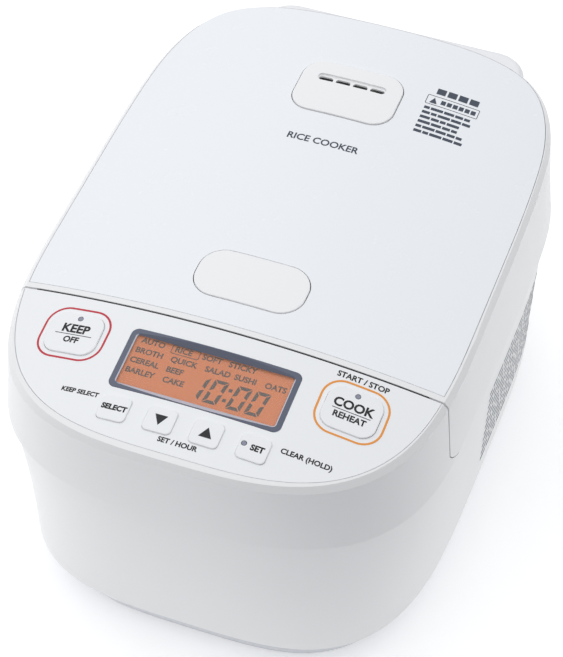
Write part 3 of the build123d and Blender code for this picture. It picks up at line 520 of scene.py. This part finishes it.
# ---------------------------------------------------------------- display
DIGIT_W, DIGIT_H, STROKE, SLANT = 8.0, 15.0, 2.0, 0.16
SEGMENT_GAP = 0.35
DIGIT_GAP, COLON_W = 2.3, 2.7
LIT_SEGMENTS = {"0": "abcdef", "1": "bc"}
COLON_SHIFT, COLON_DOT, COLON_HEIGHTS = 0.2, 2.0, (4.2, 10.8)
TIME_LEFT, TIME_BASE = 53.4, 4.2     # the time starts this far from the right edge, above the front edge
MENU_SIZE, MENU_BOLD, MENU_TOP, ROW_PITCH = 4.7, 0.15, 3.6, 6.4
CHOICE_X, CHOICE_TOP, CHOICE_SHAPE, CHOICE_LINE = 29.0, 3.7, (15.5, 5.2, 0.8), 0.45
MENU = [
    ("auto", "AUTO", 4.0, 0), ("rice", "RICE", 23.0, 0), ("soft", "SOFT", 38.5, 0),
    ("sticky", "STICKY", 53.5, 0),
    ("broth", "BROTH", 3.0, 1), ("quick", "QUICK", 23.0, 1), ("salad", "SALAD", 42.5, 1),
    ("sushi", "SUSHI", 59.0, 1), ("oats", "OATS", 76.0, 1),
    ("cereal", "CEREAL", 2.5, 2), ("beef", "BEEF", 23.0, 2),
    ("barley", "BARLEY", 2.5, 3), ("cake", "CAKE", 23.5, 3),
]


def segment(kind, x, y):
    """One segment of a seven-segment digit whose lower left corner is (x, y)."""
    half, gap = STROKE / 2, SEGMENT_GAP
    if kind in "ad":
        outer = y + (DIGIT_H if kind == "a" else 0)
        inner = outer + (-STROKE if kind == "a" else STROKE)
        left, right = x + gap, x + DIGIT_W - gap
        points = [(left, outer), (right, outer), (right - STROKE, inner), (left + STROKE, inner)]
    else:
        post = x + (DIGIT_W if kind in "bc" else 0)
        low = y + (DIGIT_H / 2 if kind in "bf" else 0) + gap
        high = low + DIGIT_H / 2 - 2 * gap
        inner = post + (-STROKE if kind in "bc" else STROKE)
        trim_low = STROKE if kind in "ce" else half
        trim_high = STROKE if kind in "bf" else half
        points = [(post, low), (post, high), (inner, high - trim_high), (inner, low + trim_low)]
    return upright([(px + SLANT * (py - y), py) for px, py in points])


def print_display():
    """The time, the menu words and the frame round the chosen one."""
    module = from_above("lcd_module")
    low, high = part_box("lcd_module")
    left, right = low.x / MM, high.x / MM
    rear = high.y / MM
    base = low.y / MM + TIME_BASE
    polygons = []
    x = right - TIME_LEFT
    for sign in "10:00":
        if sign == ":":
            for height in COLON_HEIGHTS:
                shift = COLON_SHIFT + SLANT * height
                polygons.append(bar(x + shift, base + height, COLON_DOT, COLON_DOT))
            x += COLON_W
            continue
        polygons += [segment(kind, x, base) for kind in LIT_SEGMENTS[sign]]
        x += DIGIT_W + DIGIT_GAP
    lay("display_time", flat_mesh("time", polygons), module, "cooker", SEGMENT)
    for name, words, reach, row in MENU:
        y = rear - MENU_TOP - ROW_PITCH * row
        mesh = text_mesh(words, MENU_SIZE, left + reach, y, MENU_BOLD, "LEFT")
        lay("display_" + name, mesh, module, "cooker", SEGMENT_DIM)
    choice = outline_band(left + CHOICE_X, rear - CHOICE_TOP, *CHOICE_SHAPE, CHOICE_LINE)
    lay("display_choice", flat_mesh("choice", choice), module, "cooker", SEGMENT_DIM)


# ---------------------------------------------------------------- lid and side labels
WORDMARK, WORDMARK_SIZE, WORDMARK_Y, WORDMARK_BOLD = "RICE COOKER", 6.6, 43.5, 0.13
HEADING_LEFT, HEADING_Y, HEADING_PITCH, HEADING_BAR, HEADING_COUNT = 50.5, 106.5, 6.6, (5.4, 4.6), 4
FRAME_PLACE, FRAME_SHAPE, FRAME_LINE = (59.5, 98.6), (31.0, 7.0, 0.6), 0.4
TRIANGLE = [(46.0, 96.2), (50.6, 96.2), (48.3, 100.8)]
FRAME_LEFT, FRAME_PITCH, FRAME_BAR, FRAME_COUNT = 54.0, 3.6, (2.8, 3.2), 6
NOTICE_ROWS = dict(left=44.6, right=74.8, top=91.8, rows=6, pitch=3.9, height=2.1, gap=0.7,
                   narrow=3.4, step=1.3, hops=(5, 3))
RATING_ROWS = dict(left=-18.0, right=92.0, top=96.0, rows=11, pitch=5.8, height=2.4, gap=1.8,
                   narrow=5.0, step=2.3, hops=(7, 5))
SIDE_START = (0.3, 0, 0)             # outside the case, in metres


def word_bars(left, right, top, rows, pitch, height, gap, narrow, step, hops):
    """Rows of bars in four widths between left and right, as lines of words are."""
    bars = []
    for row in range(rows):
        x = left
        for word in itertools.count():
            width = narrow + step * ((row * hops[0] + word * hops[1]) % 4)
            if x + width >= right:
                break
            bars.append(bar(x + width / 2, top - pitch * row, width, height))
            x += width + gap
    return bars


def print_lid():
    """The wordmark, and a notice: a heading, a framed sign and rows of bars."""
    sheet = from_above("lid_top_panel")
    mark = text_mesh(WORDMARK, WORDMARK_SIZE, 0.0, WORDMARK_Y, WORDMARK_BOLD)
    lay("lid_wordmark", mark, sheet, "lid", PRINT_SLATE)
    polygons = [bar(HEADING_LEFT + HEADING_PITCH * k, HEADING_Y, *HEADING_BAR) for k in range(HEADING_COUNT)]
    polygons += outline_band(*FRAME_PLACE, *FRAME_SHAPE, FRAME_LINE)
    polygons += [upright(TRIANGLE)]
    polygons += [bar(FRAME_LEFT + FRAME_PITCH * k, FRAME_PLACE[1], *FRAME_BAR) for k in range(FRAME_COUNT)]
    polygons += word_bars(**NOTICE_ROWS)
    lay("lid_notice", flat_mesh("notice", polygons), sheet, "lid", PRINT_SLATE)


def print_side():
    """Rows of bars on the right side of the case."""
    side = Surface("outer_case", SIDE_START, (0, 1, 0), (0, 0, 1), (-1, 0, 0))
    polygons = [split_long(points) for points in word_bars(**RATING_ROWS)]
    lay("side_rating", flat_mesh("rating", polygons), side, "cooker", PRINT_SLATE)


print_panel()
light_key_gaps()
shade_lid_gap()
print_keys()
print_display()
print_lid()
print_side()


# ---------------------------------------------------------------- floor, light and camera
SKY_LOW, SKY_HIGH = 0.34, 1.06          # brightness of the tent at the horizon and overhead
DARK_SIDE, DARK_LEVEL = (0.58, -0.81, 0.0), 0.02
TENT_WALL = (0.0, 0.75)                 # the tent brightens between these heights
DARK_WIDTH, DARK_HEIGHT = (0.1, 0.9), (0.15, 0.6)
SKY_COLOR = (0.975, 0.987, 1.0, 1.0)
# painted shade on the floor: it turns grey and glows less toward the front right
SHADE_SIDE, SHADE_EDGE = (0.64, -0.77, 0.0), (0.26, 0.42)
FLOOR_SIZE, FLOOR_GLOW, SHADE_GLOW = 8, 0.25, 0.05
LIGHT_AIM = Vector((0, 0, 0.1))
CAMERA_PLACE = (0.3184, -0.8597, 1.0638)
CAMERA_AZIMUTH, CAMERA_ELEVATION, CAMERA_ROLL = 20.815, 46.837, -0.122
CAMERA_LENS = 124.7


def map_range(tree, value, from_low, from_high, to_low, to_high):
    """The value carried smoothly from one range to another."""
    node = tree.nodes.new("ShaderNodeMapRange")
    node.interpolation_type = "SMOOTHSTEP"
    ends = {"From Min": from_low, "From Max": from_high, "To Min": to_low, "To Max": to_high}
    for label, number in ends.items():
        node.inputs[label].default_value = number
    tree.links.new(value, node.inputs["Value"])
    return node.outputs["Result"]


def stage_floor():
    """A white table that glows a little, as a lit sweep does, with painted shade toward the front right:
    greyer and glowing less there.
    """
    bpy.ops.mesh.primitive_plane_add(size=FLOOR_SIZE)
    floor = bpy.context.object
    floor.name = "floor"
    white, grey = srgb(250, 250, 250), srgb(172, 172, 177)
    paper = plastic("white_sweep", white, 0.8, 0.001, 400, vary=0.004)
    tree = paper.node_tree
    shader = tree.nodes["Principled BSDF"]
    coords = tree.nodes.new("ShaderNodeTexCoord")
    # painted shade: grey colour and less glow toward the front right
    front_shade = along(tree, coords.outputs["Object"], SHADE_SIDE)
    shift = map_range(tree, front_shade, *SHADE_EDGE, 0, 1)
    tree.links.new(blend_colors(tree, shift, white, grey), shader.inputs["Base Color"])
    shader.inputs["Emission Color"].default_value = (1, 1, 1, 1)
    glow = map_range(tree, front_shade, *SHADE_EDGE, FLOOR_GLOW, SHADE_GLOW)
    tree.links.new(glow, shader.inputs["Emission Strength"])
    floor.data.materials.append(paper)


def soft_box(name, place, size, power):
    """A square light that faces the cooker."""
    light = bpy.data.lights.new(name, "AREA")
    light.shape = "SQUARE"
    light.size = size
    light.energy = power
    holder = bpy.data.objects.new(name, light)
    bpy.context.scene.collection.objects.link(holder)
    holder.location = place
    holder.rotation_mode = "QUATERNION"
    holder.rotation_quaternion = (LIGHT_AIM - Vector(place)).to_track_quat("-Z", "Y")


def studio_world():
    """A tent lit from above, with a darker patch low down at the front right."""
    world = bpy.data.worlds.new("studio")
    world.use_nodes = True
    tree = world.node_tree
    coords = tree.nodes.new("ShaderNodeTexCoord")
    axes = tree.nodes.new("ShaderNodeSeparateXYZ")
    tree.links.new(coords.outputs["Generated"], axes.inputs["Vector"])
    overhead = map_range(tree, axes.outputs["Z"], *TENT_WALL, SKY_LOW, SKY_HIGH)
    toward = along(tree, coords.outputs["Generated"], DARK_SIDE)
    lobe = map_range(tree, toward, *DARK_WIDTH, 0, 1)
    near_floor = map_range(tree, axes.outputs["Z"], *DARK_HEIGHT, 1 - DARK_LEVEL, 0)
    flag = tree.nodes.new("ShaderNodeMath")
    flag.operation = "MULTIPLY_ADD"
    flag.inputs[1].default_value = -1
    flag.inputs[2].default_value = 1
    tree.links.new(combine(tree, "MULTIPLY", lobe, near_floor), flag.inputs[0])
    background = tree.nodes["Background"]
    background.inputs["Color"].default_value = SKY_COLOR
    tree.links.new(combine(tree, "MULTIPLY", overhead, flag.outputs["Value"]), background.inputs["Strength"])
    bpy.context.scene.world = world


def place_camera():
    """Looks down on the cooker from the front right."""
    azimuth, elevation = math.radians(CAMERA_AZIMUTH), math.radians(CAMERA_ELEVATION)
    camera = bpy.data.objects.new("camera", bpy.data.cameras.new("camera"))
    bpy.context.scene.collection.objects.link(camera)
    camera.location = CAMERA_PLACE
    level = math.cos(elevation)
    back = Vector((math.sin(azimuth) * level, -math.cos(azimuth) * level, math.sin(elevation)))
    roll = Quaternion((0, 0, 1), math.radians(CAMERA_ROLL))
    camera.rotation_mode = "QUATERNION"
    camera.rotation_quaternion = (-back).to_track_quat("-Z", "Y") @ roll
    camera.data.sensor_width = 36
    camera.data.lens = CAMERA_LENS
    camera.data.clip_start, camera.data.clip_end = 0.05, 20
    bpy.context.scene.camera = camera


stage_floor()
soft_box("key_light", (-1.3, 0.9, 1.5), 1.8, 3)
soft_box("left_light", (-1.8, -0.2, 0.5), 1.2, 3)
studio_world()
place_camera()
bpy.context.scene.view_settings.view_transform = "Standard"
